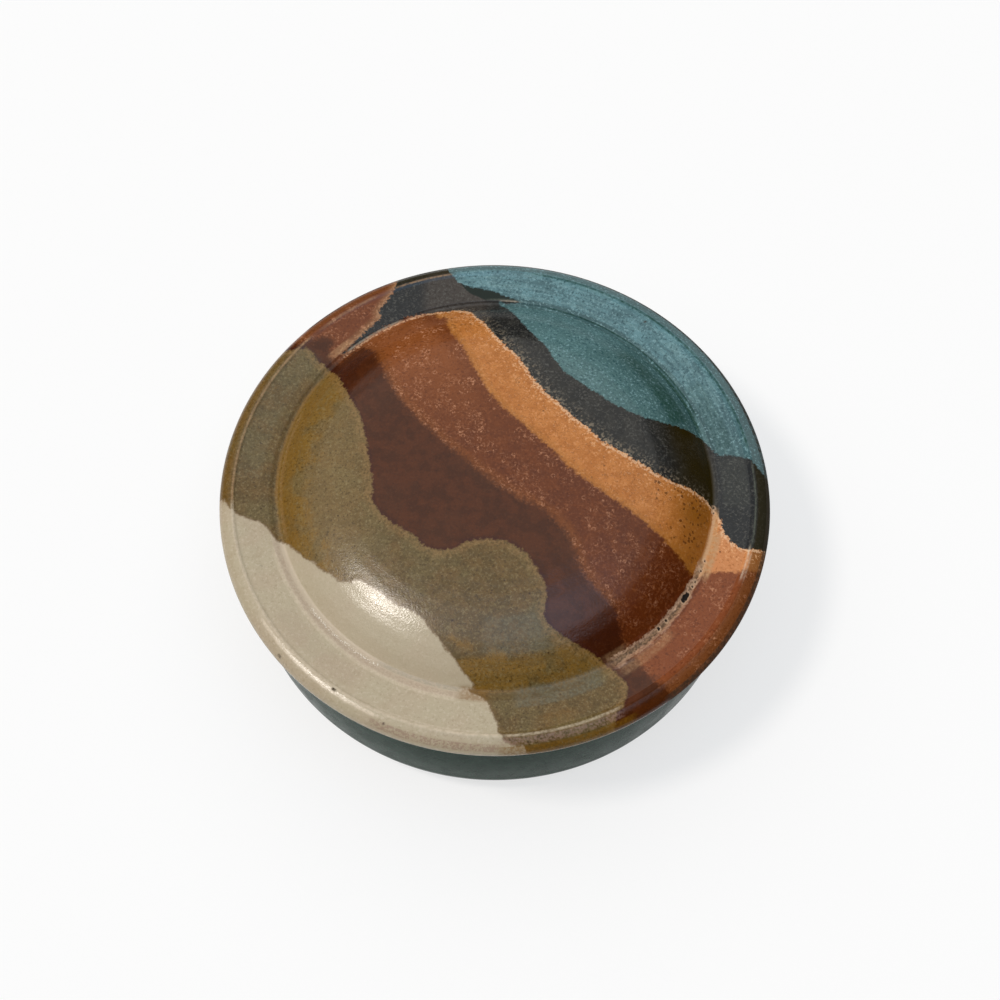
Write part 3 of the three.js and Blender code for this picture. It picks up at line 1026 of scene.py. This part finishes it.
def lid_glaze(name, shine):
    """The lid's bands of glaze, one over another."""
    m = Paint(name)
    f = Fields(m)
    colour, rough = cream(m, f), CREAM_ROUGHNESS
    for band, (glaze, coarse, fine, softness, roughness) in BANDS.items():
        past = m.add(f.past[band], m.add(m.sway(f.mottle, coarse), m.sway(f.grain, fine)))
        share = m.ramp(past, -softness, softness)
        colour = m.mix(share, colour, glaze(m, f))
        rough = m.blend(share, rough, roughness)
        if band == "olive":
            colour = m.lay(colour, (m.band(past, 0, 0.15, 0.5), 0.5, (116, 92, 62)))
        if band == "charcoal":
            where = m.larger(f.dome, m.ramp(f.past["orange"], -1, 1, 0.25, 1.0))
            granules = m.times(m.band(past, -0.6, 0.35, 0.5), m.ramp(f.grit, 0.38, 0.55))
            colour = m.lay(colour, (m.times(granules, where), 0.85, (224, 180, 140)))
    colour, hollow = add_crust(m, f, add_marks(m, f, colour))
    rough = m.blend(m.times(f.groove, 0.9), rough, GROOVE_ROUGHNESS)
    # Matt: the slope of the arris and the back of the groove on the right, the pits and the dark marks
    slopes = m.larger(m.band(f.ring, 94.2, 1.1, 0.4), m.times(f.groove, f.back))
    slopes = m.times(slopes, m.ramp(f.x, -10, 30))
    worn = m.larger(m.larger(slopes, hollow), f.marks["dark"])
    rough = m.blend(worn, rough, WORN_ROUGHNESS)
    rough = m.add(rough, m.sway(f.mottle, ROUGHNESS_SWAY))
    height = m.add(m.times(f.grain, 0.6), m.times(f.fine, 0.4))
    return m.finish(colour, rough, height, GLAZE_RELIEF, shine)


def dark_glaze():
    """The dark green-teal glaze of the dish and of the lid's inside."""
    m = Paint("green_glaze")
    mottle = m.noise(6, seed=8, detail=3)
    grain = m.noise(0.9, seed=9)
    colour = m.lay(
        tone(38, 63, 51),
        (m.ramp(mottle, 0.35, 0.65), 1, (34, 57, 46)),
        (m.ramp(grain, 0.56, 0.68), 0.3, (70, 92, 80)),
    )
    return m.finish(colour, m.ramp(mottle, 0.3, 0.7, 0.2, 0.3), grain, GREEN_RELIEF, GREEN_SHINE)


def bare_clay():
    """Unglazed stoneware where the two pieces meet and where the dish stands."""
    m = Paint("bare_clay")
    mottle = m.noise(7, seed=10, detail=3)
    grain = m.noise(0.5, seed=11)
    colour = m.lay(
        tone(178, 150, 118),
        (m.ramp(mottle, 0.35, 0.65), 1, (162, 130, 98)),
        (m.ramp(grain, 0.6, 0.68), 0.6, (110, 78, 54)),
    )
    return m.finish(colour, CLAY_ROUGHNESS, grain, CLAY_RELIEF, CLAY_SHINE)


# The two pieces

# Relief on the lid's mesh, in millimetres
RELIEF_SINK = 0.2
WAVE_HEIGHT = 0.05
DIMPLE_HEIGHT = 0.02
TURNING_HEIGHT = 0.02
BAND_RIDGE = 0.04
CHARCOAL_RIDGE = 0.2
RELIEF_FADES = 93
CRUST_HEIGHT = 0.45
CRUST_RINGS = (78.2, 81.5)
PIT_DEPTH = 0.6
DISH_RELIEF = 0.03

# Where the glaze ran thin on the dome's flank: all round but for a stretch at the back, in degrees
THIN_BACK = 94
THIN_STARTS = 30
THIN_FULL = 52
FLANK_STARTS = (60, 73)
FLANK_ENDS = (79, 80.5)

FAR_FROM_GLAZE = -50.0


def make_piece(name, turned, positions, data, materials, slots):
    """A mesh from the turned solid. slots gives each finish its material."""
    faces, rings = turned.faces()
    mesh = bpy.data.meshes.new(name)
    mesh.from_pydata((positions * MM).tolist(), [], faces)
    for material in materials:
        mesh.materials.append(material)
    finish = turned.finish[np.array(rings) + 1]
    mesh.polygons.foreach_set("material_index", np.array([slots[x] for x in finish], np.int32))
    mesh.polygons.foreach_set("use_smooth", np.ones(len(mesh.polygons), bool))
    for key, values in data.items():
        mesh.attributes.new(key, "FLOAT", "POINT").data.foreach_set("value", values.astype(np.float32))
    mesh.validate()
    mesh.update()
    piece = bpy.data.objects.new(name, mesh)
    bpy.context.scene.collection.objects.link(piece)
    return piece


def lid_shift(turned, on_top, glazed):
    """How far each point of the lid lies off the axis, in x and y."""
    places = [0, CREASE_RADIUS, LIP_RADIUS, ARRIS_RADIUS, LID_RADIUS]
    shifts = (DOME_SHIFT, DOME_SHIFT, LIP_SHIFT, ARRIS_SHIFT, (0, 0))
    shift = np.stack([np.interp(turned.radius, places, values) for values in zip(*shifts)], 1)
    bevel = glazed & ~on_top & (turned.height > WIDEST_LEVEL)
    lean = np.clip((turned.height - WIDEST_LEVEL) / BEVEL_HEIGHT, 0, 1) * bevel
    return shift * on_top[:, None] + (lean ** 2)[:, None] * np.array(ARRIS_SHIFT)


def lid_data(turned, x, y, glazed):
    """What the lid's materials need to know of each point."""
    turn = np.degrees((turned.angle + math.pi) % (2 * math.pi) - math.pi)
    data = {"ring": turned.radius, "pit": pit_distance(turned.radius, turn)}
    for name, points in EDGES.items():
        past, along = np.full(len(x), FAR_FROM_GLAZE), np.zeros(len(x))
        past[glazed], along[glazed] = distance_past(points, x[glazed], y[glazed])
        data["past_" + name] = past
        if name == "charcoal":
            data["along"] = along
    for kind in MARKS:
        data[kind] = mark_strength(kind, turned.radius, turn)
    flank = ease(turned.radius, *FLANK_STARTS) * (1 - ease(turned.radius, *FLANK_ENDS))
    thinned = flank * ease(apart(turn, THIN_BACK), THIN_STARTS, THIN_FULL)
    data["thin"] = thinned * (0.9 + 0.25 * bumps(x, y, 9, 7))
    middle, half = (CRUST_START + CRUST_END) / 2, (CRUST_END - CRUST_START) / 2
    data["reach"] = 1 - ease(apart(turn, middle), half - 2, half + 2)
    return data


def lid_relief(turned, data, x, y, on_top):
    """How far each point of the lid stands out: waves, ridges where bands begin, the crust and its pits."""
    relief = WAVE_HEIGHT * bumps(x, y, 21, 1) + DIMPLE_HEIGHT * bumps(x, y, 8, 2)
    relief = relief + TURNING_HEIGHT * np.sin(turned.radius * 1.2)
    for name in EDGES:
        relief = relief + BAND_RIDGE * hump(data["past_" + name], 0.2, 0.9)
    ridge = hump(data["past_charcoal"], -0.4, 0.7) * (0.6 + 0.6 * bumps(x, y, 1.1, 3))
    relief = relief + CHARCOAL_RIDGE * ridge - RELIEF_SINK
    relief = relief * on_top * (1 - ease(turned.radius, RELIEF_FADES, ARRIS_RADIUS))
    lips = sum(hump(turned.radius, ring, 0.5) for ring in CRUST_RINGS)
    crust = data["reach"] * lips * (0.8 + 0.4 * bumps(x, y, 1.3, 5))
    pits = 1 - ease(data["pit"], -0.4, 0.1)
    return relief + on_top * (CRUST_HEIGHT * crust - PIT_DEPTH * pits)


def make_lid(banded, edge, green, clay):
    turned = Turned(lid_runs())
    on_top = turned.point_finish == "top"
    glazed = np.isin(turned.point_finish, ("top", "edge"))
    shift = lid_shift(turned, on_top, glazed)
    x, y, _ = turned.positions(shift).T
    data = lid_data(turned, x, y, glazed)
    positions = turned.positions(shift, lid_relief(turned, data, x, y, on_top))
    slots = {"top": 0, "edge": 1, "inside": 2, "bare": 3}
    lid = make_piece("lid_glazed", turned, positions, data, (banded, edge, green, clay), slots)
    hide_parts("lid")
    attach(lid, "lid")


def make_dish(green, clay):
    turned = Turned(dish_runs())
    plain = turned.positions()
    glazed = turned.point_finish == "outside"
    wave = bumps(plain[:, 0] * 0.2, plain[:, 2], 6, 12)
    positions = turned.positions(0, np.where(glazed, DISH_RELIEF * (wave - 1), 0))
    slots = {"outside": 0, "bare": 1}
    dish = make_piece("dish_glazed", turned, positions, {}, (green, clay), slots)
    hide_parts("dish")
    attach(dish, "dish")


bpy.context.scene.view_settings.view_transform = "Standard"
add_camera()
add_lights()
add_floor()
green = dark_glaze()
clay = bare_clay()
make_lid(lid_glaze("banded_glaze", BAND_SHINE), lid_glaze("edge_glaze", EDGE_SHINE), green, clay)
make_dish(green, clay)
